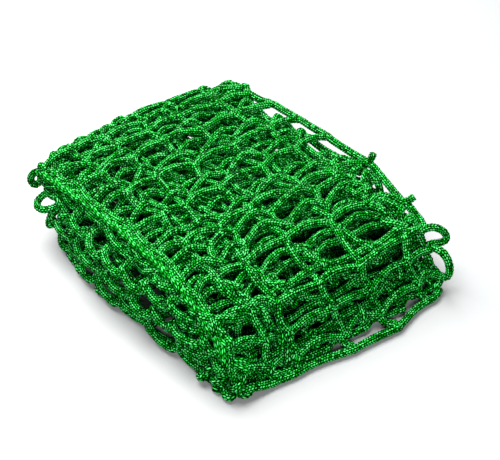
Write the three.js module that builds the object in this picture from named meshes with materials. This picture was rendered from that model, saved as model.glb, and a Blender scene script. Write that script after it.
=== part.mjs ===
import * as THREE from 'three';

// Goal net of thick braided cord, folded back and forth into a low packet.
// Millimetres, +Z up, the packet lies on the plane z = 0.

const cordSize = 6;
const cordThickness = 5.4;
const selvedgeSize = 10;
const selvedgeColumns = 9;
const cellsAcross = 6;
const layerRise = 6.36;
const half = cordThickness / 2;

// A cord is pressed thinner on the inside of a turn
const pressed = 1.2;

// The cover: from its free end on the floor up the +X end, over a shoulder and a ridge
const lipEnd = 147;
const lipAt = 135;
const lipRadius = 5;
const shoulderAt = 97;
const shoulderRadius = 14;
const shoulderLayer = 2;
const ridgeAt = 48;

// Columns of the mesh on the drape, by their length from the free end, and columns on the
// upper layers, by their X
const drapeColumns = [3.5, 24, 47, 73, 118];
const upperColumns = [
  { layer: 0, x: [20, -20, -56, -86, -114] },
  { layer: 1, x: [-107, -82, -52, -16, 24] },
  { layer: 2, x: [20, -20, -56, -84, -112] },
  { layer: 3, x: [-108, -80, -48, -14, 26, 67] },
];

// The free end lies nearer to the packet in some rows: how much by row, less in the columns above
const freeEnd = [19.5, 11.5, 9.5, 2.5, 0, 8.5, 12.5];

// Layers from the cover down to the floor: where each one ends along X, how far it lies
// aside along Y there, how far its inner rows drift and its near edge draws in there, and
// which column of the mesh falls on that end
const layers = [
  { endsAt: -127, aside: 0, drift: 0, near: 0, column: 9.5 },
  { endsAt: 41, aside: -4, drift: 0, near: 18, column: 14.5 },
  { endsAt: -126, aside: -2, drift: 0, near: 20, column: 19.5 },
  { endsAt: 97, aside: -3, drift: 8, near: 16, column: 25.5 },
  { endsAt: -125, aside: -2, drift: -6, near: 11, column: 29.5 },
  { endsAt: 104, aside: 3, drift: -10, near: 5, column: 33.5 },
  { endsAt: -123, aside: -2, drift: 8, near: 6, column: 37.5 },
  { endsAt: 112, aside: 4, drift: 14, near: 3, column: 41.5 },
  { endsAt: -121, aside: -3, drift: -8, near: 8, column: 45.5 },
  { endsAt: 120, aside: 1, drift: -2, near: 2, column: 49 },
];

// Rows of cord across the packet: Y at the -X end, the middle and the +X end,
// first on the cover and then on the runs below it
const coverRows = [
  { left: -84, middle: -76, right: -89 },
  { left: -58, middle: -52, right: -62 },
  { left: -20, middle: -28, right: -38 },
  { left: 13, middle: 10, right: 4 },
  { left: 44, middle: 49, right: 40 },
  { left: 82, middle: 88, right: 80 },
  { left: 100, middle: 115, right: 99 },
];
const innerRows = [
  { left: -95, middle: -105, right: -95 },
  { left: -60, middle: -55, right: -63 },
  { left: -22, middle: -28, right: -37 },
  { left: 11, middle: 9, right: 4 },
  { left: 42, middle: 47, right: 40 },
  { left: 76, middle: 82, right: 75 },
  { left: 101, middle: 112, right: 106 },
];

// Lie of the packet seen from above: it slants, and its -X end bulges
const packetReach = 128;
const packetAcross = 110;
const slantMiddle = 0.095;
const slantGrowth = 0.035;
const bulge = 9;
const bulgeFrom = 0.3;

// Lower layers draw in at the corner of the -X end and the selvedge
const tuck = 30;
const tuckFrom = 30;
const tuckTo = 95;

// The top sinks towards the +X end and the long edges
const domeDrop = 0.08;
const domeShareAlong = 0.4;
const domeShareAcross = 0.6;

// How far joints wander in the mesh, and how far cords bow between them
const wanderAlong = 3.2;
const wanderAcross = 3;
const bowAlong = 3;
const bowAcross = 3.5;
const sideOut = 9;
const edgeShare = 0.6;
const seeds = { along: 1, across: 2, bowAlong: 3, bowAcross: 4, sideOut: 5 };

// Cords of the columns after this one lie straight between joints
const bowedColumns = 15;

// Room kept between a joint and the middle of a turn
const turnRoom = 9;

// Cord ends that stick out of the far edge: column, row and length
const stubs = [
  { column: 4, row: 6, length: 8 },
  { column: 5, row: 6, length: 9 },
];

// Loops pulled out of the packet at its corners: column of the cord, its row, and its pull
const loops = [
  { column: 1, row: 6, along: 7, across: 11, rise: 3 },
  { column: 2, row: 6, along: 6, across: 12, rise: 5 },
  { column: 19, row: 0, along: -5, across: -9, rise: 0 },
];

const lastLayer = layers.length - 1;
const middleHeight = (layer) => half + (lastLayer - layer) * layerRise;

// Fold line in the XZ plane, from the free end on the floor to the free end underneath
function foldLine() {
  const line = new THREE.Path();
  const shoulder = new THREE.Vector2(shoulderAt, middleHeight(shoulderLayer) - shoulderRadius);
  const ridge = new THREE.Vector2(ridgeAt, middleHeight(0));
  const lip = new THREE.Vector2(lipAt, half + lipRadius);
  const between = lip.clone().sub(shoulder);
  const spread = Math.acos((shoulderRadius + lipRadius) / between.length());
  const lean = between.angle() - 2 * Math.PI + spread;
  const rise = ridge.clone().sub(shoulder);
  const crown = rise.angle() - Math.acos(shoulderRadius / rise.length());
  line.moveTo(lipEnd, half);
  line.lineTo(lip.x, half);
  line.absarc(lip.x, lip.y, lipRadius, -Math.PI / 2, lean - Math.PI, true);
  line.absarc(shoulder.x, shoulder.y, shoulderRadius, lean, crown, false);
  line.lineTo(ridge.x, ridge.y);
  const turns = [];
  const radius = layerRise / 2;
  layers.forEach((layer, index) => {
    line.lineTo(layer.endsAt, middleHeight(index));
    if (index === lastLayer) {
      return;
    }
    const leftward = index % 2 === 0;
    line.cacheLengths = null;
    const from = line.getLength();
    const centre = middleHeight(index) - radius;
    line.absarc(layer.endsAt, centre, radius, Math.PI / 2, -Math.PI / 2, !leftward);
    const to = from + Math.PI * radius;
    const inner = leftward ? 1 : -1;
    turns.push({ ...layer, from, to, inner, middle: (from + to) / 2 });
  });
  line.cacheLengths = null;
  return { line, turns, length: line.getLength() };
}

const fold = foldLine();
const columns = layers[lastLayer].column;

// The cover's rows give way to the rows below from the first turn at the +X end to the next
const coverFade = 45;
const coverEnd = fold.turns[1].middle - coverFade;
const innerFrom = fold.turns[3].middle;

// Distance along the fold line at which a layer's straight run passes X
function alongAt(layer, x) {
  const turn = fold.turns[layer];
  return turn.from - Math.abs(turn.endsAt - x);
}

// Distance along the fold line of a column of the mesh
const setColumns = [...drapeColumns];
for (const { layer, x } of upperColumns) {
  setColumns.push(...x.map((each) => alongAt(layer, each)));
}
const columnStops = [
  ...setColumns.map((along, column) => ({ column, along })),
  ...fold.turns.slice(upperColumns.length).map(({ column, middle }) => ({ column, along: middle })),
  { column: columns, along: fold.length - half },
];

function columnAlong(column) {
  const next = Math.max(1, columnStops.findIndex((stop) => stop.column >= column));
  const before = columnStops[next - 1];
  const after = columnStops[next];
  const share = (column - before.column) / (after.column - before.column);
  return THREE.MathUtils.lerp(before.along, after.along, share);
}

function clearOfTurns(along) {
  const turn = fold.turns.find(({ middle }) => Math.abs(along - middle) < turnRoom);
  if (!turn) {
    return along;
  }
  return along < turn.middle ? turn.middle - turnRoom : turn.middle + turnRoom;
}

// A steady value between -1 and 1 for each joint
function scatter(column, row, seed) {
  const mixed = Math.sin(column * 12.9898 + row * 78.233 + seed * 37.719) * 43758.5453;
  return 2 * (mixed - Math.floor(mixed)) - 1;
}

const atEdge = (row) => row === 0 || row === cellsAcross;

function rowAcross(table, row, reach) {
  const { left, middle, right } = table[row];
  const bend = (left + right) / 2 - middle;
  return middle + ((right - left) / 2) * reach + bend * reach * reach;
}

// Value of one of the layers' named columns at a place along the fold line
function layerValue(name, along) {
  const stops = [{ middle: 0, [name]: 0 }, ...fold.turns];
  stops.push({ ...layers[lastLayer], middle: fold.length });
  const next = Math.max(1, stops.findIndex(({ middle }) => middle >= along));
  const before = stops[next - 1];
  const after = stops[next];
  const share = (along - before.middle) / (after.middle - before.middle);
  return THREE.MathUtils.lerp(before[name], after[name], share);
}

// Place on the folded net: distance along the fold line and row across it
function place(along, row, across) {
  const flat = fold.line.getPoint(THREE.MathUtils.clamp(along / fold.length, 0, 1));
  const reach = THREE.MathUtils.clamp(flat.x / packetReach, -1, 1);
  const onCover = 1 - THREE.MathUtils.smoothstep(along, coverEnd, innerFrom);
  const drift = layerValue('drift', along);
  const near = layerValue('near', along);
  const shift = (each) => (each === 0 ? near : drift * (each < cellsAcross ? 1 : 0));
  const rowY = (each) => THREE.MathUtils.lerp(
    rowAcross(innerRows, each, reach) + shift(each),
    rowAcross(coverRows, each, reach),
    onCover);
  const low = Math.floor(row);
  const high = Math.min(low + 1, cellsAcross);
  const aside = across + layerValue('aside', along);
  const y = THREE.MathUtils.lerp(rowY(low), rowY(high), row - low) + aside;
  const slanted = flat.x + y * (slantMiddle + slantGrowth * reach);
  const out = bulge * Math.max(0, 1 - (y / packetAcross) ** 2);
  const depth = 1 - flat.y / middleHeight(0);
  const drawnIn = tuck * depth * THREE.MathUtils.smoothstep(-y, tuckFrom, tuckTo);
  const x = slanted + (drawnIn - out) * THREE.MathUtils.smoothstep(-reach, bulgeFrom, 1);
  const alongShare = domeShareAlong * Math.max(0, reach) ** 2;
  const outside = alongShare + domeShareAcross * (y / packetAcross) ** 2;
  const z = half + (flat.y - half) * (1 - domeDrop * Math.min(1, outside));
  return new THREE.Vector3(x, y, z);
}

// Directions on the folded net at a place: along the fold line, across it and out of it
function directions(along, row, across) {
  const step = 0.4;
  const ahead = place(along + step, row, across).sub(place(along - step, row, across));
  const aside = place(along, row, across + step).sub(place(along, row, across - step));
  const out = ahead.clone().cross(aside).normalize();
  const u = ahead.normalize();
  const v = out.clone().cross(u);
  return { u, v, out };
}

// The mesh is gathered as corner points, none below the floor, and triangles
const corners = [];
const triangles = [];

function addCorner(point) {
  corners.push(point.x, point.y, Math.max(0, point.z));
  return corners.length / 3 - 1;
}

function addQuad(a, b, c, d) {
  triangles.push(a, b, c, a, c, d);
}

function addBar(rings) {
  for (let next = 1; next < rings.length; next += 1) {
    const from = rings[next - 1];
    const to = rings[next];
    for (let side = 0; side < 4; side += 1) {
      const other = (side + 1) % 4;
      addQuad(from[side], from[other], to[other], to[side]);
    }
  }
}

// Half of a cord's thickness on one side of the net, less where a turn presses it
function thicknessAt(along, side) {
  const turn = fold.turns.find(({ from, to }) => along > from - half && along < to + half);
  return turn && turn.inner === side ? pressed : half;
}

// Four corners of a cord, given its middle, its sideways direction and the way out of the net
function addRing(along, middle, side, out, width) {
  const corner = (across, outward) => addCorner(
    middle.clone()
      .addScaledVector(side, (across * width) / 2)
      .addScaledVector(out, outward * thicknessAt(along, outward)));
  return [corner(1, 1), corner(-1, 1), corner(-1, -1), corner(1, -1)];
}

// The cover's edge carries the heavy selvedge
const onSelvedge = (column, row) => row === 0 && column < selvedgeColumns;
const rowWidth = (column, row) => (onSelvedge(column, row) ? selvedgeSize : cordSize);

// A joint of the mesh is a block with a corner for each of the eight directions
function makeJoint(column, row) {
  const evenly = columnAlong(column);
  const wander = column === 0 || column === columns ? 0 : wanderAlong * scatter(column, row, seeds.along);
  const drawn = freeEnd[row] * Math.max(0, 1 - column / drapeColumns.length);
  const along = clearOfTurns(evenly + wander + drawn);
  const across = (atEdge(row) ? edgeShare : 1) * wanderAcross * scatter(column, row, seeds.across);
  const middle = place(along, row, across);
  const { u, v, out } = directions(along, row, across);
  const corner = {};
  for (const su of [-1, 1]) {
    for (const sv of [-1, 1]) {
      for (const so of [-1, 1]) {
        const point = middle.clone();
        point.addScaledVector(u, (su * cordSize) / 2);
        point.addScaledVector(v, (sv * rowWidth(column, row)) / 2);
        point.addScaledVector(out, so * thicknessAt(along, so));
        corner[`${su}${sv}${so}`] = addCorner(point);
      }
    }
  }
  const pick = (...names) => names.map((name) => corner[name]);
  return {
    along, across, middle, u, v, out,
    top: pick('111', '-111', '-1-11', '1-11'),
    bottom: pick('1-1-1', '-1-1-1', '-11-1', '11-1'),
    ahead: pick('111', '1-11', '1-1-1', '11-1'),
    behind: pick('-111', '-1-11', '-1-1-1', '-11-1'),
    left: pick('-111', '111', '11-1', '-11-1'),
    right: pick('-1-11', '1-11', '1-1-1', '-1-1-1'),
  };
}

const joints = [];
for (let column = 0; column <= columns; column += 1) {
  const line = [];
  for (let row = 0; row <= cellsAcross; row += 1) {
    line.push(makeJoint(column, row));
  }
  joints.push(line);
}

// Places of the rings of a cord along the fold line, closer together around a turn
function ringStops(from, to, straight) {
  const turn = fold.turns.find((each) => each.to > from && each.from < to);
  if (!turn) {
    return straight ? [] : [(from + to) / 2];
  }
  const steps = 4;
  return Array.from({ length: steps + 1 }, (_, step) =>
    THREE.MathUtils.lerp(turn.from, turn.to, step / steps));
}

function cordAlong(column, row) {
  const first = joints[column][row];
  const last = joints[column + 1][row];
  const loop = loops.find((each) => each.column === column && each.row === row);
  const hangsOut = atEdge(row) && column > layers[0].column;
  const outward = (row === 0 ? -1 : 1) * sideOut * (0.5 + 0.5 * scatter(column, row, seeds.sideOut));
  const bow = hangsOut ? outward : bowAlong * scatter(column, row, seeds.bowAlong);
  const rings = [first.ahead];
  const straight = column > bowedColumns && !atEdge(row);
  for (const along of ringStops(first.along, last.along, straight)) {
    const share = (along - first.along) / (last.along - first.along);
    const swing = Math.sin(Math.PI * share);
    const across = THREE.MathUtils.lerp(first.across, last.across, share) + bow * swing;
    const middle = place(along, row, across);
    const { v, out } = directions(along, row, across);
    if (loop) {
      middle.add(new THREE.Vector3(loop.along, loop.across, loop.rise).multiplyScalar(swing));
    }
    rings.push(addRing(along, middle, v, out, rowWidth(column, row)));
  }
  rings.push(last.behind);
  addBar(rings);
}

function cordAcross(column, row) {
  const first = joints[column][row];
  const last = joints[column][row + 1];
  if (column > bowedColumns) {
    addBar([first.left, last.right]);
    return;
  }
  const bow = bowAcross * scatter(column, row, seeds.bowAcross);
  const along = (first.along + last.along) / 2 + bow;
  const share = 0.5;
  const across = (first.across + last.across) * share;
  const middle = place(along, row + share, across);
  const { u, out } = directions(along, row + share, across);
  addBar([first.left, addRing(along, middle, u.negate(), out, cordSize), last.right]);
}

function cutEnd(ring, outward) {
  if (outward) {
    addQuad(ring[0], ring[1], ring[2], ring[3]);
  } else {
    addQuad(ring[3], ring[2], ring[1], ring[0]);
  }
}

// A joint on a long edge is closed there, or carries a cord end that sticks out
function finishEdge(joint, column, row) {
  const far = row === cellsAcross;
  const stub = stubs.find((each) => each.column === column && each.row === row);
  if (!stub) {
    cutEnd(far ? joint.left : joint.right, far);
    return;
  }
  const reach = (far ? 1 : -1) * (rowWidth(column, row) / 2 + stub.length);
  const tip = joint.middle.clone().addScaledVector(joint.v, reach);
  const end = addRing(joint.along, tip, joint.u.clone().negate(), joint.out, cordSize);
  addBar(far ? [joint.left, end] : [end, joint.right]);
  cutEnd(end, far);
}

for (let column = 0; column <= columns; column += 1) {
  for (let row = 0; row <= cellsAcross; row += 1) {
    const joint = joints[column][row];
    addQuad(...joint.top);
    addQuad(...joint.bottom);
    if (column < columns) {
      cordAlong(column, row);
    }
    if (row < cellsAcross) {
      cordAcross(column, row);
    }
    if (column === 0) {
      cutEnd(joint.behind, false);
    }
    if (column === columns) {
      cutEnd(joint.ahead, true);
    }
    if (atEdge(row)) {
      finishEdge(joint, column, row);
    }
  }
}

const netShape = new THREE.BufferGeometry();
netShape.setAttribute('position', new THREE.Float32BufferAttribute(corners, 3));
netShape.setIndex(triangles);

// The packet stands over the origin
netShape.computeBoundingBox();
const middleOfBox = netShape.boundingBox.getCenter(new THREE.Vector3());
netShape.translate(-middleOfBox.x, -middleOfBox.y, 0);

const net = new THREE.Mesh(
  netShape, new THREE.MeshStandardMaterial({ color: 0x1f8a3f, roughness: 0.7 }));
net.name = 'net';

const part = new THREE.Group();
part.name = 'folded_goal_net';
part.add(net);

export default part;
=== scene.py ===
import math
import bpy
import numpy as np
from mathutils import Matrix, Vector, kdtree


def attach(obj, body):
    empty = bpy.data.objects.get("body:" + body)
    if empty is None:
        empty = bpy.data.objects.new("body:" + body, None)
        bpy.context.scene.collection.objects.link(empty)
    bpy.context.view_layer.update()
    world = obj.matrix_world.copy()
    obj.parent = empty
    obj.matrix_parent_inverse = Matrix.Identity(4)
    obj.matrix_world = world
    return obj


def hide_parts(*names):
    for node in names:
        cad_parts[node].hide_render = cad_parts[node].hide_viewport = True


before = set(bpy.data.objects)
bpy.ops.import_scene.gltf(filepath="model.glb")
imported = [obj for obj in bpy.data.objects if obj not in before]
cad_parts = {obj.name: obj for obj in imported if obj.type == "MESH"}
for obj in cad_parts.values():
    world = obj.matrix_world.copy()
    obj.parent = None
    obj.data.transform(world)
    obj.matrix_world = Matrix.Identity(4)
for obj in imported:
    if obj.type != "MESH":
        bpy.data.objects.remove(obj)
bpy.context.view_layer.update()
mm = 0.001

# the fold, in millimetres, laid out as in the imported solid
fold = {
    "boxMiddle": (4.548, 10.006),    # the packet is laid out off centre by this much
    "cord": 6.0,
    "rowsAcross": 6,
    "layerRise": 6.36,
    "lipEnd": 147.0, "lipAt": 135.0, "lipRadius": 5.0,
    "shoulderAt": 97.0, "shoulderRadius": 14.0, "shoulderLayer": 2,
    "ridgeAt": 48.0,
    "packetReach": 128.0, "packetAcross": 110.0,
    "slantMiddle": 0.095, "slantGrowth": 0.035,
    "bulge": 9.0, "bulgeFrom": 0.3,
    "tuck": 30.0, "tuckFrom": 30.0, "tuckTo": 95.0,    # lower layers draw in at one corner
    "domeDrop": 0.08, "domeAlong": 0.4, "domeAcross": 0.6,
    "coverTurns": (1, 3), "coverFade": 45.0,    # the cover's rows give way to the inner ones here
    "packedFrom": 80.0, "packedTo": 112.0,      # lower layers are not packed up at the +X end
    "stepLength": 0.5,
}
rows = fold["rowsAcross"]

# the layers, each size listed from the top layer down
layers = {
    "endsAt": (-127, 50, -126, 99, -125, 110, -123, 119, -121, 127),    # X of the turn at its end
    # at that turn: how far the layer lies aside, its inner rows drift, its near and far edges
    # draw in and it is packed up against the cover
    "aside": (0, -4, -2, -3, -2, 3, -2, 4, -3, 1),
    "drift": (0, 14, -10, 16, -16, -10, 8, 16, -8, -10),
    "near": (0, 18, 20, 16, 11, 5, 6, 3, 8, 2),
    "far": (0, 0, 2, 4, 4, 11, 4, 11, 4, 8),
    "packed": (0, 3.5, 6, 12, 10.5, 9.5, 7, 4.5, 2.5, 0),
    # halfway along it: how far its inner rows lie aside and its near and far edges draw in
    "midway": (0, 8, 6, -8, 0, 0, 0, 0, 0, 0),
    "recess": (0, 6, 0, 7, -4, 7, -3, 8, -2, 4),
    "hollow": (0, 9, 8, 5, 6, 0, 0, 0, 0, 0),
    # its mesh: how many columns lie on it, how far its strands swing, how high its arms arch
    # and how far they loop out at +X
    "columns": (11, 8.5, 8.5, 9.5, 9.5, 10.5, 9.5, 10.5, 9.5, 10),
    "sweep": (0.35, 1.0, 0.7, 1.0, 0.8, 0.8, 0.8, 0.8, 0.8, 0.8),
    "arch": (0.55, 1.0, 0.9, 1.0, 0.7, 0.6, 0.5, 0.5, 0.5, 0.3),
    "loop": (0, 4, 0, 8, 0, 10, 0, 10, 0, 4),
}
layerCount = len(layers["endsAt"])

# rows of joints across the packet: Y at the -X end, the middle and the +X end
coverRows = np.array([
    (-83, -76, -89), (-53, -52, -62), (-20, -28, -38), (13, 10, 4),
    (44, 49, 40), (82, 88, 80), (110, 122, 97)], float)
innerRows = np.array([
    (-95, -105, -95), (-60, -55, -63), (-22, -28, -37), (11, 9, 4),
    (42, 47, 40), (76, 82, 75), (101, 112, 106)], float)


def arcPoints(centre, radius, start, end):
    steps = max(2, int(abs(end - start) * radius / fold["stepLength"]))
    turn = np.linspace(start, end, steps)
    return np.stack([centre[0] + radius * np.cos(turn), centre[1] + radius * np.sin(turn)], 1)


def runLength(runs):
    return np.linalg.norm(np.diff(np.concatenate(runs), axis=0), axis=1).sum()


# the fold line in X and Z: free end, lip, slope, shoulder, ridge, then layer under layer
def layFold():
    half = fold["cord"] / 2
    last = layerCount - 1
    height = [half + (last - n) * fold["layerRise"] for n in range(layerCount)]
    shoulderRadius, lipRadius = fold["shoulderRadius"], fold["lipRadius"]
    shoulder = np.array([fold["shoulderAt"], height[fold["shoulderLayer"]] - shoulderRadius])
    ridge = np.array([fold["ridgeAt"], height[0]])
    lip = np.array([fold["lipAt"], half + lipRadius])
    between = lip - shoulder
    spread = math.acos((shoulderRadius + lipRadius) / np.linalg.norm(between))
    lean = math.atan2(between[1], between[0]) + spread
    rise = ridge - shoulder
    crown = math.atan2(rise[1], rise[0]) - math.acos(shoulderRadius / np.linalg.norm(rise))
    runs = [
        np.array([[fold["lipEnd"], half]]),
        arcPoints(lip, lipRadius, -math.pi / 2, lean - math.pi),
        arcPoints(shoulder, shoulderRadius, lean, crown),
        ridge[None, :],
    ]
    turns = []
    radius = fold["layerRise"] / 2
    for n, end in enumerate(layers["endsAt"]):
        runs.append(np.array([[end, height[n]]]))
        if n == last:
            break
        start = runLength(runs)
        way = 1 if n % 2 == 0 else -1
        centre = (end, height[n] - radius)
        runs.append(arcPoints(centre, radius, math.pi / 2, math.pi / 2 + way * math.pi))
        turns.append((start + runLength(runs)) / 2)
    points = np.concatenate(runs)
    along = np.concatenate([[0], np.cumsum(np.linalg.norm(np.diff(points, axis=0), axis=1))])
    return {"points": points, "along": along, "turns": turns, "length": along[-1]}


laid = layFold()
layerStops = np.array([0] + laid["turns"] + [laid["length"]])
print("fold laid,", round(laid["length"]), "mm long, turns at", np.round(laid["turns"], 1))


def smoothStep(value, low, high):
    share = np.clip((value - low) / (high - low), 0, 1)
    return share * share * (3 - 2 * share)


# a size of the layers that runs evenly from turn to turn
def layerSize(name, along):
    return np.interp(along, layerStops, (0, *layers[name]))


# and one that swells up halfway along each layer
def layerSwell(name, along):
    number = np.clip(np.searchsorted(layerStops, along, "right") - 1, 0, layerCount - 1)
    share = (along - layerStops[number]) / (layerStops[number + 1] - layerStops[number])
    return np.array(layers[name])[number] * np.sin(math.pi * share)


def rowLine(table, row, reach):
    left, middle, right = table[row].T
    return middle + (right - left) / 2 * reach + ((left + right) / 2 - middle) * reach ** 2


# Y of a row of joints, on the cover or on the layers below it
def rowAcross(row, along, reach):
    first, last = (laid["turns"][n] for n in fold["coverTurns"])
    onCover = 1 - smoothStep(along, first - fold["coverFade"], last)
    inner = rowLine(innerRows, row, reach) + np.where(row == 0, layerSize("near", along), 0)
    y = inner + (rowLine(coverRows, row, reach) - inner) * onCover
    far = layerSize("far", along) + layerSwell("hollow", along)
    atEdge = np.where(row == 0, layerSwell("recess", along), -far)
    inside = layerSize("drift", along) + layerSwell("midway", along)
    return y + np.where((row > 0) & (row < rows), inside, atEdge)


# a place on the folded net, from its length along the fold, its row and a shift across
def onFold(along, row, across):
    x = np.interp(along, laid["along"], laid["points"][:, 0])
    z = np.interp(along, laid["along"], laid["points"][:, 1])
    z = z + layerSize("packed", along) * (1 - smoothStep(x, fold["packedFrom"], fold["packedTo"]))
    reach = np.clip(x / fold["packetReach"], -1, 1)
    low = np.clip(np.floor(row), 0, rows - 1).astype(int)
    lowY = rowAcross(low, along, reach)
    y = lowY + (rowAcross(low + 1, along, reach) - lowY) * (row - low)
    y = y + across + layerSize("aside", along)
    bulge = fold["bulge"] * np.maximum(0, 1 - (y / fold["packetAcross"]) ** 2)
    x = x + y * (fold["slantMiddle"] + fold["slantGrowth"] * reach)
    depth = 1 - z / laid["points"][:, 1].max()
    tuck = fold["tuck"] * depth * smoothStep(-y, fold["tuckFrom"], fold["tuckTo"])
    x = x + (tuck - bulge) * smoothStep(-reach, fold["bulgeFrom"], 1)
    outside = fold["domeAlong"] * np.maximum(0, reach) ** 2
    outside = outside + fold["domeAcross"] * (y / fold["packetAcross"]) ** 2
    half = fold["cord"] / 2
    z = half + (z - half) * (1 - fold["domeDrop"] * np.minimum(1, outside))
    return np.stack([x, y, z], -1)


# joints of the mesh
mesh = {
    "pitch": 38.0,
    # columns on the drape, by their length from the free end, and on the top layers, by their X
    "drape": [3.5, 20.0, 43.0, 69.0],
    "top": [
        (61, 20, -20, -56, -86, -108, -122, -131),
        (-123, -112, -94, -66, -31, 8, 29, 46),
        (40, 20, -4, -42, -75, -101, -115, -124, -131),
        (-120, -108, -83, -52, -15, 25, 52, 72, 93),
    ],
    "freeEnd": [19.5, 11.5, 9.5, 2.5, 0, 8.5, 12.5],    # how far the free end draws in, by row
    # columns lie this far from a turn at +X, from the lowest one and from the end underneath
    "turnRoom": (10.0, 25.0),
    "lowTurn": 7, "lowTurnRoom": (10.0, 19.0, 30.0),
    "endRoom": (11.0, 21.0, 32.0),
    "wanderAlong": 4.0, "wanderAcross": 3.6, "edgeShare": 0.6,    # joints lie off by up to this
}
# cord ends that stand out of the far edge: the joint's column and row, how far it lies towards
# +X and the end's reach
cordEnds = [
    {"column": 4, "row": 6, "forward": 18, "reach": (4, 7, 6)},
    {"column": 5, "row": 6, "forward": 11, "reach": (1, 3, 9)},
]
seeds = {"along": 1, "across": 2, "bowAlong": 3, "bowAcross": 4, "out": 5, "drop": 6, "arch": 7,
         "loop": 8, "front": 9}
mixing = {"first": 12.9898, "second": 78.233, "third": 37.719, "scale": 43758.5453}
columnTurns = np.cumsum(layers["columns"])
columns = int(round(columnTurns[-1]))
topEnd = columnTurns[0]      # columns on the drape and the top layer
upperEnd = columnTurns[2]    # and on the two layers below it


# an even scatter from -1 to 1
def scatter(column, row, use):
    mixed = column * mixing["first"] + row * mixing["second"] + seeds[use] * mixing["third"]
    mixed = math.sin(mixed) * mixing["scale"]
    return 2 * (mixed - math.floor(mixed)) - 1


# length along the fold at which a layer passes X
def alongAt(layer, x):
    onLayer = (laid["along"] >= layerStops[layer]) & (laid["along"] <= layerStops[layer + 1])
    xs = laid["points"][onLayer, 0]
    alongs = laid["along"][onLayer]
    order = np.argsort(xs)
    return float(np.interp(x, xs[order], alongs[order]))


def columnAlongs():
    alongs = list(mesh["drape"])
    for layer, xs in enumerate(mesh["top"]):
        alongs += [alongAt(layer, x) for x in xs]
    stops = list(enumerate(alongs))
    lowTurn = laid["turns"][mesh["lowTurn"]]
    for column, turn in zip(columnTurns, laid["turns"]):
        if column == int(column) and column >= len(alongs):
            stops.append((column, turn))
        elif column > len(alongs) - 1:
            rooms = mesh["lowTurnRoom"] if turn == lowTurn else mesh["turnRoom"]
            for n, room in enumerate(rooms):
                stops.append((column + n + 0.5, turn + room))
                if column - n - 0.5 >= len(alongs):
                    stops.append((column - n - 0.5, turn - room))
    last = laid["length"] - fold["cord"] / 2
    stops += [(columns - n, last - room) for n, room in enumerate((0, *mesh["endRoom"]))]
    number, along = np.array(sorted(stops)).T
    return np.interp(np.arange(columns + 1), number, along)


def jointPlaces():
    evenly = columnAlongs()
    along = np.zeros((columns + 1, rows + 1))
    across = np.zeros((columns + 1, rows + 1))
    for i in range(columns + 1):
        for j in range(rows + 1):
            wander = 0 if i in (0, columns) else mesh["wanderAlong"] * scatter(i, j, "along")
            drawn = mesh["freeEnd"][j] * max(0, 1 - i / len(mesh["drape"]))
            along[i, j] = evenly[i] + wander + drawn
            share = mesh["edgeShare"] if j in (0, rows) else 1
            across[i, j] = share * mesh["wanderAcross"] * scatter(i, j, "across")
    for each in cordEnds:
        along[each["column"], each["row"]] -= each["forward"]
    return along, across


jointAlong, jointAcross = jointPlaces()
print("joints placed:", jointAlong.size)


# a strand climbs through the mesh in steps, one arm along the net and one arm across it,
# and one more strand runs along the free edge
def strandRoutes():
    climbing = [[(0, row), (1, row)] for row in range(rows, 0, -1)]
    climbing += [[(column, 0), (column + 1, 0)] for column in range(columns)]
    for route in climbing:
        while True:
            (i0, j0), (i, j) = route[-2], route[-1]
            cameAlong = j0 == j
            if cameAlong and j < rows:
                route.append((i, j + 1))
            elif not cameAlong and i < columns:
                route.append((i + 1, j))
            else:
                break
    freeEdge = [(0, row) for row in range(rows + 1)]
    return [freeEdge] + climbing


# arms of the strands, from joint to joint
arms = {
    "parts": 6,
    "length": 39.5, "slack": 1.1, "lowerSlack": 1.3,    # slack arms grow by this share at most
    # half of how far two strands run together at a joint and how far they lie apart there, and
    # the share of that run that is left on a turn
    "bundle": 2.4, "bundleApart": 1.3, "turnShare": 0.25,
    "bowAlong": 4.0, "bowAcross": 4.5,
    # arms across the layers arch, and those on a turn at -X or beside one at +X bow out
    "arch": (-11.0, 4.0, 6.5), "archVary": (1, 0.25),
    "edgeOut": 3.0,
    "frontOut": 0.5, "frontVary": (1, 0.5),
    # arms along the layers sag, and those on a turn at +X loop out
    "sag": (0.0, -4.5, -1.0),
    "loopVary": (0.8, 0.3),
    # those on the edges hang out and down, fully so from this layer on, and less at the far edge
    "sideOut": 9.0, "outVary": (0.5, 0.5), "outFrom": 4,
    "sideDrop": 12.0, "dropVary": (0.4, 0.6),
    "farIn": 6.0,
    "endGap": 0.5, "pastEdge": 0.2,    # points stay on the fold, and this near to its edge rows
}
# loops pulled out of the packet: the arm's column and row, its pull, and how far its legs spread
loops = [
    {"column": 1, "row": 6, "pull": (12, 5, 0), "spread": (0, 0, -6)},
    {"column": 2, "row": 6, "pull": (4, 18, 0), "spread": (3, 0, -3)},
    {"column": 27, "row": 0, "pull": (-8, -15, -8), "spread": (0, 0, 7)},
    {"column": 47, "row": 0, "pull": (-6, -14, -3), "spread": (-3, 0, 0)},
    {"column": 49, "row": 0, "pull": (-6, -10, -4), "spread": (0, 0, 0)},
]
# the net settles: strands keep their length, rest on each other and on the floor
settle = {
    "rounds": 200,
    "searchEvery": 8, "searchPast": 1.5,
    "drop": 0.04,
    "stiff": 0.2,
    "clear": 5.7, "pushShare": 0.3,
    "samePoints": 4,    # points of a strand closer in number than this don't push each other
    "holdJoint": 0.05, "holdArm": 0.015, "holdLoop": 0.3,
    "floor": 3.3,
}


def hermite(a, wayA, b, wayB, t):
    return ((2 * t ** 3 - 3 * t ** 2 + 1) * a + (t ** 3 - 2 * t ** 2 + t) * wayA
            + (3 * t ** 2 - 2 * t ** 3) * b + (t ** 3 - t ** 2) * wayB)


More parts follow.
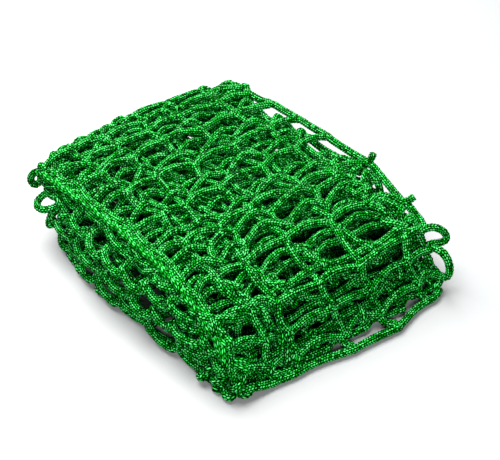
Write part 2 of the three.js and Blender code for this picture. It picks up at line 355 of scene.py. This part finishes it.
# a joint of a strand: its place, the half run beside the other strand, its way and its layer
def strandJoint(route, n):
    i, j = route[n]
    pitch = mesh["pitch"]
    run = arms["bundle"] / math.sqrt(2)
    isEnd = n in (0, len(route) - 1)
    cameAlong = n > 0 and route[n - 1][1] == j
    onEdge = route[-1][0] == 0
    side = 0 if isEnd or onEdge else arms["bundleApart"] * (-1 if cameAlong else 1)
    here = np.array([jointAlong[i, j] + side, j - side / pitch, jointAcross[i, j]])
    layer = min(int(np.searchsorted(laid["turns"], here[0])), layerCount - 1)
    if isEnd:
        other = route[1] if n == 0 else route[n - 1]
        slant = np.zeros(3)
        way = np.array([pitch, 0, 0]) if other[1] == j else np.array([0, 1.0, 0])
    elif onEdge:
        slant = np.array([0, run / pitch, 0])
        way = np.array([0, 1.0, 0])
    else:
        tight = arms["turnShare"] if i in columnTurns else 1
        slant = np.array([run, run / pitch, 0]) * tight
        swing = layers["sweep"][layer] * pitch / math.sqrt(2)
        way = np.array([swing, swing / pitch, 0])
    return here, slant, way, layer


# how far an arm is pulled out of its layer, how far its legs spread and how firmly it is held
def armPull(start, end, layer, onEdge):
    (i0, j0), (i, j) = start, end
    isAlong = j0 == j

    def varied(use):
        middle, spread = arms[use + "Vary"]
        return middle + spread * scatter(i0, j0, use)

    pull = np.zeros(3)
    if not isAlong and not onEdge:
        pull = np.array(arms["arch"]) * layers["arch"][layer] * varied("arch")
        if i in columnTurns:
            pull = np.array([-arms["edgeOut"], 0, 0])
        if i > upperEnd and (i - 0.5 in columnTurns or i + 0.5 in columnTurns):
            pull = np.array([arms["frontOut"] * varied("front"), 0, 0])
    elif isAlong and 0 < j < rows:
        pull = np.array(arms["sag"]) * layers["arch"][layer]
    elif isAlong and i0 > topEnd:
        out = arms["sideOut"] * min(1, layer / arms["outFrom"]) * varied("out")
        drop = arms["sideDrop"] * varied("drop")
        pull = np.array([0, out - arms["farIn"] if j else -out, -drop])
    for turn, loop in zip(columnTurns, layers["loop"]):
        if i0 < turn < i:
            pull = pull + np.array([loop * varied("loop"), 0, 0])
    if i == columns:
        pull = np.array([layers["loop"][-1], 0, 0])
    for each in loops:
        if isAlong and (each["column"], each["row"]) == start:
            return np.array(each["pull"]), np.array(each["spread"]), settle["holdLoop"]
    return pull, np.zeros(3), settle["holdArm"]


# points of a strand on the fold, the number of the point at each of its joints, and how firmly
# each point is held
def strandPoints(route):
    onNet, pulls, grips, jointAt = [], [], [], []
    onEdge = route[-1][0] == 0
    for n, joint in enumerate(route):
        here, slant, way, layer = strandJoint(route, n)
        if n > 0:
            start = route[n - 1]
            isAlong = start[1] == joint[1]
            pull, spread, grip = armPull(start, joint, layer, onEdge)
            use = "bowAlong" if isAlong else "bowAcross"
            bow = arms[use] * scatter(*start, use)
            for k in range(1, arms["parts"] + 1):
                t = k / arms["parts"]
                lift = math.sin(math.pi * t)
                point = hermite(*leave, here - slant, way, t)
                point[2 if isAlong else 0] += bow * lift
                onNet.append(point)
                pulls.append(pull * lift + spread * math.sin(2 * math.pi * t))
                grips.append(grip)
        if n == len(route) - 1:
            jointAt.append(len(onNet) - 1)
        else:
            added = [here, here + slant] if n > 0 else [here]
            jointAt.append(len(onNet))
            onNet += added
            pulls += [np.zeros(3)] * len(added)
            grips += [settle["holdJoint"]] * len(added)
        leave = (here + slant, way)
    along, row, across = np.array(onNet).T
    along = np.clip(along, arms["endGap"], laid["length"] - arms["endGap"])
    row = np.clip(row, -arms["pastEdge"], rows + arms["pastEdge"])
    points = onFold(along, row, across) + np.array(pulls)
    for each in cordEnds:
        if route[-1] == (each["column"], each["row"]):
            points = np.concatenate([points, points[-1] + np.outer((0.5, 1), each["reach"])])
            grips += [settle["holdJoint"], settle["holdJoint"]]
    return points, jointAt, np.array(grips)


routes = strandRoutes()
print("strands:", len(routes))


def gatherStrands():
    net = {"points": [], "jointOf": [], "hold": [], "atJoint": []}
    starts = [0]
    for route in routes:
        points, jointAt, grip = strandPoints(route)
        jointOf = np.full(len(points), -1)
        atJoint = np.zeros(len(points), bool)
        for at, (i, j) in zip(jointAt, route):
            close = slice(max(0, at - 1), at + 2)
            atJoint[close] = route[-1][0] > 0
            grip[close] = np.maximum(settle["holdJoint"], grip[close])
            jointOf[max(0, at - 2):at + 3] = i * (rows + 1) + j
        net["points"].append(points)
        net["jointOf"].append(jointOf)
        net["hold"].append(grip)
        net["atJoint"].append(atJoint)
        starts.append(starts[-1] + len(points))
    net = {name: np.concatenate(values) for name, values in net.items()}
    net["strand"] = np.repeat(np.arange(len(routes)), np.diff(starts))
    return net, starts


def closePairs(points, strand, jointOf):
    tree = kdtree.KDTree(len(points))
    for n, point in enumerate(points):
        tree.insert(point, n)
    tree.balance()
    first, second = [], []
    for n, point in enumerate(points):
        for _, other, _ in tree.find_range(point, settle["clear"] + settle["searchPast"]):
            sameCord = strand[n] == strand[other] and other - n < settle["samePoints"]
            sameJoint = jointOf[n] >= 0 and jointOf[n] == jointOf[other]
            if other > n and not sameCord and not sameJoint:
                first.append(n)
                second.append(other)
    return np.array(first), np.array(second)


def linkLengths(points, links, strand):
    length = np.linalg.norm(points[links + 1] - points[links], axis=1)
    isLower = strand[links] > rows + upperEnd
    most = np.where(isLower, arms["lowerSlack"], arms["slack"]) * length
    return np.maximum(length, np.minimum(arms["length"] / (arms["parts"] + 2), most))


def keepLengths(points, links, length):
    for part in (0, 1):
        link = links[part::2]
        gap = points[link + 1] - points[link]
        far = np.linalg.norm(gap, axis=1, keepdims=True)
        push = gap * (0.5 * (1 - length[part::2, None] / np.maximum(far, 1e-6)))
        points[link] += push
        points[link + 1] -= push


def pushApart(points, first, second):
    gap = points[second] - points[first]
    far = np.linalg.norm(gap, axis=1, keepdims=True)
    push = gap / np.maximum(far, 1e-6) * np.maximum(0, settle["clear"] - far) * settle["pushShare"]
    np.add.at(points, first, -push)
    np.add.at(points, second, push)


def settleStrands():
    net, starts = gatherStrands()
    points, strand = net["points"], net["strand"]
    home = points.copy()
    hold = net["hold"][:, None]
    number = np.arange(len(points))
    sameNext = strand[:-1] == strand[1:]
    links = number[:-1][sameNext]
    bends = number[1:-1][sameNext[:-1] & sameNext[1:] & ~net["atJoint"][1:-1]]
    length = linkLengths(points, links, strand)
    for step in range(settle["rounds"]):
        if step % settle["searchEvery"] == 0:
            pairs = closePairs(points, strand, net["jointOf"])
        points[:, 2] -= settle["drop"]
        straight = (points[bends - 1] + points[bends + 1]) / 2 - points[bends]
        points[bends] += settle["stiff"] * straight
        keepLengths(points, links, length)
        pushApart(points, *pairs)
        points += hold * (home - points)
        points[:, 2] = np.maximum(points[:, 2], settle["floor"])
    return [points[begin:end] for begin, end in zip(starts[:-1], starts[1:])]


strands = settleStrands()
cordLength = sum(np.linalg.norm(np.diff(each, axis=0), axis=1).sum() for each in strands)
print("net settled,", round(cordLength * mm, 1), "m of cord")

# cords: braided tubes along the settled strands
braid = {
    "radius": 3.15, "sides": 10, "relief": 0.34, "step": 1.25,
    "least": 0.35,     # the flattest plaits stand out by this share of the relief
    "uneven": 0.05,    # the cord swells and thins by this share of its radius
    "waves": (0.11, 0.043), "waveStarts": (1.7, 0.9),
    "smoothing": 8,
}


def smoothRoute(points, step):
    padded = np.concatenate([[2 * points[0] - points[1]], points, [2 * points[-1] - points[-2]]])
    t = np.linspace(0, 1, braid["smoothing"], endpoint=False)[:, None]
    fine = []
    for n in range(len(points) - 1):
        p0, p1, p2, p3 = padded[n:n + 4]
        fine.append(0.5 * (2 * p1 + (p2 - p0) * t + (2 * p0 - 5 * p1 + 4 * p2 - p3) * t ** 2
                           + (3 * p1 - p0 - 3 * p2 + p3) * t ** 3))
    fine.append(points[-1:])
    fine = np.concatenate(fine)
    far = np.concatenate([[0], np.cumsum(np.linalg.norm(np.diff(fine, axis=0), axis=1))])
    count = max(4, int(round(far[-1] / step)))
    stops = np.linspace(0, far[-1], count + 1)
    return np.stack([np.interp(stops, far, fine[:, n]) for n in range(3)], 1)


# directions to the side and up for each ring of a tube, turned as little as possible
def ringFrames(route):
    ahead = np.gradient(route, axis=0)
    ahead /= np.linalg.norm(ahead, axis=1, keepdims=True)
    side = np.cross(ahead[0], (0, 0, 1))
    if np.linalg.norm(side) < 0.1:
        side = np.cross(ahead[0], (1, 0, 0))
    sides = []
    for way in ahead:
        side = side - way * side.dot(way)
        side = side / math.sqrt(side.dot(side))
        sides.append(side)
    sides = np.array(sides)
    return sides, np.cross(ahead, sides)


# points of a tube, ring by ring, each plait raised or sunk, and the middles of its ends
def tubePoints(route, number, cord):
    side, up = ringFrames(route)
    ring = np.arange(len(route))[:, None]
    turn = np.arange(cord["sides"])[None, :]
    angle = 2 * math.pi * turn / cord["sides"]
    swells = [np.sin(ring * wave + number * start)
              for wave, start in zip(braid["waves"], braid["waveStarts"])]
    mixed = ring * mixing["first"] + turn * mixing["second"] + number * mixing["third"]
    mixed = np.sin(mixed) * mixing["scale"]
    share = braid["least"] + (1 - braid["least"]) * (mixed - np.floor(mixed))
    raised = np.where((ring + turn) % 2 == 0, cord["relief"], -cord["relief"]) * share
    size = cord["radius"] * (1 + braid["uneven"] * (swells[0] * swells[1])) + raised
    tube = route[:, None, :] + size[..., None] * (
        np.cos(angle)[..., None] * side[:, None, :] + np.sin(angle)[..., None] * up[:, None, :])
    return np.concatenate([tube.reshape(-1, 3), route[[0, -1]]])


# triangles of a tube, split so that raised plaits are diamonds, and its end caps
def tubeFaces(rings, sides):
    ring = np.arange(rings - 1)[:, None]
    turn = np.arange(sides)[None, :]
    a = (ring * sides + turn).ravel()
    b = (ring * sides + (turn + 1) % sides).ravel()
    c = b + sides
    d = a + sides
    even = ((ring + turn) % 2 == 0).ravel()[:, None]
    one = np.where(even, np.stack([a, b, d], 1), np.stack([a, b, c], 1))
    two = np.where(even, np.stack([b, c, d], 1), np.stack([a, c, d], 1))
    rim = np.arange(sides)
    following = (rim + 1) % sides
    last = (rings - 1) * sides
    middle = np.full(sides, rings * sides)
    startCap = np.stack([middle, following, rim], 1)
    endCap = np.stack([middle + 1, last + rim, last + following], 1)
    return np.concatenate([one, two, startCap, endCap])


# the braid's UV: millimetres along the cord and turns around it
def mapBraid(data, faces, alongs, around):
    u = alongs[faces.ravel()]
    v = around[faces.ravel()].reshape(-1, 3)
    wraps = (v.max(1) - v.min(1)) > 0.5
    v = np.where(wraps[:, None] & (v < 0.5), v + 1, v)
    layer = data.uv_layers.new(name="braid")
    layer.data.foreach_set("uv", np.stack([u, v.ravel()], 1).astype(np.float32).ravel())


def addCords(name, lines, cord, finish):
    verts, faces, alongs, around = [], [], [], []
    count = 0
    sides = cord["sides"]
    lowest = cord["radius"] * (1 + braid["uneven"]) + cord["relief"]
    for number, line in enumerate(lines):
        route = smoothRoute(line, cord["step"]) - np.array([*fold["boxMiddle"], 0])
        route[:, 2] = np.maximum(route[:, 2], lowest)
        rings = len(route)
        verts.append(tubePoints(route, number, cord))
        faces.append(tubeFaces(rings, sides) + count)
        ringAlong = np.arange(rings) * cord["step"]
        alongs += [np.repeat(ringAlong, sides), ringAlong[[0, -1]]]
        around += [np.tile(np.arange(sides) / sides, rings), np.zeros(2)]
        count += rings * sides + 2
    faces = np.concatenate(faces)
    data = bpy.data.meshes.new(name)
    data.from_pydata((np.concatenate(verts) * mm).tolist(), [], faces.tolist())
    mapBraid(data, faces, np.concatenate(alongs), np.concatenate(around))
    data.polygons.foreach_set("use_smooth", np.ones(len(faces), bool))
    data.update()
    data.materials.append(finish)
    piece = bpy.data.objects.new(name, data)
    bpy.context.scene.collection.objects.link(piece)
    print(name, len(faces), "triangles")
    return piece


# materials
def addNode(tree, kind, **settings):
    node = tree.nodes.new(kind)
    for name, value in settings.items():
        setattr(node, name, value)
    return node


def mathNode(tree, operation, first, second=None):
    node = addNode(tree, "ShaderNodeMath", operation=operation)
    for socket, value in zip(node.inputs, (first, second)):
        if value is None:
            continue
        if isinstance(value, (int, float)):
            socket.default_value = value
        else:
            tree.links.new(value, socket)
    return node.outputs[0]


# plaits of a braid, leaning left and right in turn, from a UV in millimetres and turns
def braidGroup():
    tree = bpy.data.node_groups.new("braidPlaits", "ShaderNodeTree")
    for name in ("Along", "Around", "Columns", "Pitch", "Lean", "Shift"):
        tree.interface.new_socket(name, in_out="INPUT", socket_type="NodeSocketFloat")
    for name in ("Plait", "Shade"):
        tree.interface.new_socket(name, in_out="OUTPUT", socket_type="NodeSocketFloat")
    given = tree.nodes.new("NodeGroupInput").outputs
    result = tree.nodes.new("NodeGroupOutput").inputs

    def add(first, second):
        return mathNode(tree, "ADD", first, second)

    def less(first, second):
        return mathNode(tree, "SUBTRACT", first, second)

    def times(first, second):
        return mathNode(tree, "MULTIPLY", first, second)

    # the plait's column, and the place across it
    column = add(times(given["Around"], given["Columns"]), 0.5)
    number = mathNode(tree, "FLOOR", column)
    across = less(mathNode(tree, "FRACT", column), 0.5)
    odd = mathNode(tree, "FLOORED_MODULO", number, 2)
    lean = times(times(less(times(odd, 2), 1), across), given["Lean"])

    # its number in the column, and the place along it
    start = addNode(tree, "ShaderNodeTexWhiteNoise", noise_dimensions="1D")
    tree.links.new(number, start.inputs["W"])
    shift = times(start.outputs["Value"], given["Shift"])
    step = mathNode(tree, "DIVIDE", given["Along"], given["Pitch"])
    step = add(step, add(shift, times(odd, 0.5)))
    step = add(add(step, lean), 0.5)
    length = less(mathNode(tree, "FRACT", step), 0.5)
    alongPart = mathNode(tree, "COSINE", times(length, math.pi))
    acrossPart = mathNode(tree, "COSINE", times(across, math.pi))
    tree.links.new(times(alongPart, acrossPart), result["Plait"])

    # a shade of its own
    which = addNode(tree, "ShaderNodeCombineXYZ")
    tree.links.new(number, which.inputs["X"])
    tree.links.new(mathNode(tree, "FLOOR", step), which.inputs["Y"])
    noise = addNode(tree, "ShaderNodeTexWhiteNoise", noise_dimensions="2D")
    tree.links.new(which.outputs[0], noise.inputs["Vector"])
    tree.links.new(noise.outputs["Value"], result["Shade"])
    return tree


def cordMaterial(name, plaits, look):
    material = bpy.data.materials.new(name)
    material.use_nodes = True
    tree = material.node_tree
    shader = tree.nodes["Principled BSDF"]
    shader.inputs["Roughness"].default_value = look["roughness"]
    shader.inputs["Specular IOR Level"].default_value = look["gloss"]
    shader.inputs["Specular Tint"].default_value = (*look["glossTint"], 1)
    uv = addNode(tree, "ShaderNodeUVMap", uv_map="braid")
    split = addNode(tree, "ShaderNodeSeparateXYZ")
    tree.links.new(uv.outputs["UV"], split.inputs[0])
    weave = addNode(tree, "ShaderNodeGroup", node_tree=plaits)
    tree.links.new(split.outputs["X"], weave.inputs["Along"])
    tree.links.new(split.outputs["Y"], weave.inputs["Around"])
    for size in ("columns", "pitch", "lean", "shift"):
        weave.inputs[size.capitalize()].default_value = look[size]
    shade = mathNode(tree, "MULTIPLY_ADD", weave.outputs["Shade"], look["spread"])
    shade.node.inputs[2].default_value = 1 - look["spread"] / 2
    # the plait mask times its own random tone picks the colour: dark in the grooves between plaits
    # as painted shade, pale on the plait tops as a painted highlight
    ramp = addNode(tree, "ShaderNodeValToRGB")
    stops = ramp.color_ramp.elements
    while len(stops) < len(look["greensWithPaintedLight"]):
        stops.new(0.5)
    for stop, (at, colour) in zip(stops, look["greensWithPaintedLight"]):
        stop.position = at
        stop.color = (*colour, 1)
    tree.links.new(mathNode(tree, "MULTIPLY", weave.outputs["Plait"], shade), ramp.inputs["Fac"])
    tree.links.new(ramp.outputs["Color"], shader.inputs["Base Color"])
    bump = addNode(tree, "ShaderNodeBump")
    bump.inputs["Strength"].default_value = look["bump"]
    bump.inputs["Distance"].default_value = look["depth"]
    tree.links.new(weave.outputs["Plait"], bump.inputs["Height"])
    tree.links.new(bump.outputs["Normal"], shader.inputs["Normal"])
    return material


plaits = braidGroup()
print("braid shader made")

# the net's cords, in pieces from the cover down, as parts of one panel
panel = {
    "pieces": ("netCoverCords", "netUpperCords", "netMiddleCords", "netLowerCords",
               "netBottomCords", "netFloorCords"),
    "width": 0.228, "cellLength": 0.038, "cover": 0.5,
}
cordLook = {
    "columns": 10, "pitch": 2.3, "lean": 0.45, "shift": 0.7,
    "roughness": 0.45, "gloss": 0.04, "glossTint": (0.4, 1, 0.5), "spread": 1.15,
    "bump": 0.7, "depth": 0.0005,
    # the near-black first stop is painted shade in the grooves between plaits, the middle stops
    # are the cord's own green and the pale last stop is a painted highlight on the plait tops
    "greensWithPaintedLight": [
        (0.24, (0.0001, 0.004, 0.0003)),
        (0.5, (0.0005, 0.12, 0.0035)),
        (0.78, (0.005, 0.25, 0.022)),
        (1.0, (0.07, 0.36, 0.125)),
    ],
}
cordFinish = cordMaterial("braidedCord", plaits, cordLook)
stops = np.linspace(0, len(routes), len(panel["pieces"]) + 1).round().astype(int)
for name, begin, end in zip(panel["pieces"], stops[:-1], stops[1:]):
    piece = addCords(name, strands[begin:end], braid, cordFinish)
    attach(piece, "root")
    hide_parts("net")

# a flat plait of three strands runs along the edge of the cover as its selvedge
selvedge = {
    "from": 33.0, "past": -10.0,
    "outside": -3.0, "above": 2.0,
    "bendTo": 56.0, "bendIn": 15.0,    # its lower end bends in along the front
    "strands": 3, "period": 44.0, "wide": 2.9, "thick": 1.2,
    "radius": 2.5, "sides": 8, "relief": 0.12, "step": 1.6,
    "pointEvery": 2.5, "floorGap": 0.2,
}
selvedgeLook = {
    "columns": 8, "pitch": 4.0, "lean": 0.6, "shift": 0.7,
    "roughness": 0.45, "gloss": 0.05, "glossTint": (0.5, 1, 0.6), "spread": 0.9,
    "bump": 0.5, "depth": 0.0005,
    # the dark first stop is painted shade in the grooves between plaits, the middle stops are the
    # selvedge's own green and the pale last stop is a painted highlight on the plait tops
    "greensWithPaintedLight": [
        (0.1, (0.0001, 0.014, 0.0004)),
        (0.5, (0.0008, 0.13, 0.005)),
        (0.8, (0.006, 0.28, 0.025)),
        (1.0, (0.06, 0.46, 0.12)),
    ],
}


def selvedgeLines():
    last = laid["turns"][0] + selvedge["past"]
    along = np.arange(selvedge["from"], last, selvedge["pointEvery"])
    edge = np.zeros(len(along))
    bend = 1 - smoothStep(along, selvedge["from"], selvedge["bendTo"])
    aside = selvedge["outside"] + selvedge["bendIn"] * bend ** 2
    middle = onFold(along, edge, aside)
    ahead = np.gradient(middle, axis=0)
    ahead /= np.linalg.norm(ahead, axis=1, keepdims=True)
    up = np.cross(ahead, onFold(along, edge, aside + 1) - onFold(along, edge, aside - 1))
    up /= np.linalg.norm(up, axis=1, keepdims=True)
    across = np.cross(up, ahead)
    lines = []
    for strand in range(selvedge["strands"]):
        phase = 2 * math.pi * (along / selvedge["period"] + strand / selvedge["strands"])
        swing = selvedge["wide"] * np.sin(phase)
        lift = selvedge["above"] + selvedge["thick"] * np.sin(2 * phase)
        points = middle + across * swing[:, None] + up * lift[:, None]
        points[:, 2] = np.maximum(points[:, 2], selvedge["radius"] + selvedge["floorGap"])
        lines.append(points)
    return lines


selvedgeFinish = cordMaterial("plaitedSelvedge", plaits, selvedgeLook)
piece = addCords("netSelvedge", selvedgeLines(), selvedge, selvedgeFinish)
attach(piece, "root")
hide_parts("net")

# floor, light and camera
studio = {
    "floorSize": 6, "floorColour": (0.2, 0.205, 0.205), "floorRoughness": 0.6,
    "sky": 0.27,
    "aim": (0, 0, 0.02),
    "lights": [
        {"name": "keyLight", "at": (-0.6, 0.12, 1.1), "size": 1.2, "power": 75},
        {"name": "sideLight", "at": (1.1, -0.8, 0.8), "size": 0.6, "power": 34},
    ],
}
camera = {
    "turn": 49.7, "pitch": 44.6, "distance": 0.826, "lens": 72.0,
    "originAt": (227.4, 255.1),    # pixels of a 500 by 460 picture
    "picture": (500, 460), "sensor": 36.0,
}


def layFloor():
    bpy.ops.object.select_all(action="DESELECT")
    bpy.ops.mesh.primitive_plane_add(size=studio["floorSize"], location=(0, 0, 0))
    floor = bpy.context.object
    floor.name = "floor"
    material = bpy.data.materials.new("paleFloor")
    material.use_nodes = True
    shader = material.node_tree.nodes["Principled BSDF"]
    shader.inputs["Base Color"].default_value = (*studio["floorColour"], 1)
    shader.inputs["Roughness"].default_value = studio["floorRoughness"]
    floor.data.materials.append(material)


def addLights():
    world = bpy.data.worlds.new("studio")
    world.use_nodes = True
    sky = world.node_tree.nodes["Background"].inputs
    sky["Color"].default_value = (1, 1, 1, 1)
    sky["Strength"].default_value = studio["sky"]
    bpy.context.scene.world = world
    for each in studio["lights"]:
        bpy.ops.object.light_add(type="AREA", location=each["at"])
        light = bpy.context.object
        light.name = each["name"]
        light.data.size = each["size"]
        light.data.energy = each["power"]
        way = Vector(studio["aim"]) - Vector(each["at"])
        light.rotation_euler = way.to_track_quat("-Z", "Y").to_euler()
    bpy.context.scene.view_settings.view_transform = "Standard"
    bpy.context.scene.view_settings.look = "Medium High Contrast"


def placeCamera():
    turn, pitch = math.radians(camera["turn"]), math.radians(camera["pitch"])
    level = math.cos(pitch)
    back = Vector((math.sin(turn) * level, -math.cos(turn) * level, math.sin(pitch)))
    base = Vector((-fold["boxMiddle"][0], -fold["boxMiddle"][1], 0)) * mm
    data = bpy.data.cameras.new("camera")
    data.sensor_width = camera["sensor"]
    data.lens = camera["lens"]
    eye = bpy.data.objects.new("camera", data)
    bpy.context.scene.collection.objects.link(eye)
    eye.location = base + back * camera["distance"]
    right = (-back).cross(Vector((0, 0, 1))).normalized()
    up = right.cross(-back)
    pixels = camera["lens"] / camera["sensor"] * camera["picture"][0]
    offX = (camera["originAt"][0] - camera["picture"][0] / 2) / pixels
    offY = (camera["originAt"][1] - camera["picture"][1] / 2) / pixels
    aim = -back - right * offX + up * offY
    eye.rotation_euler = aim.to_track_quat("-Z", "Y").to_euler()
    bpy.context.scene.camera = eye


layFloor()
addLights()
placeCamera()
print("studio set")
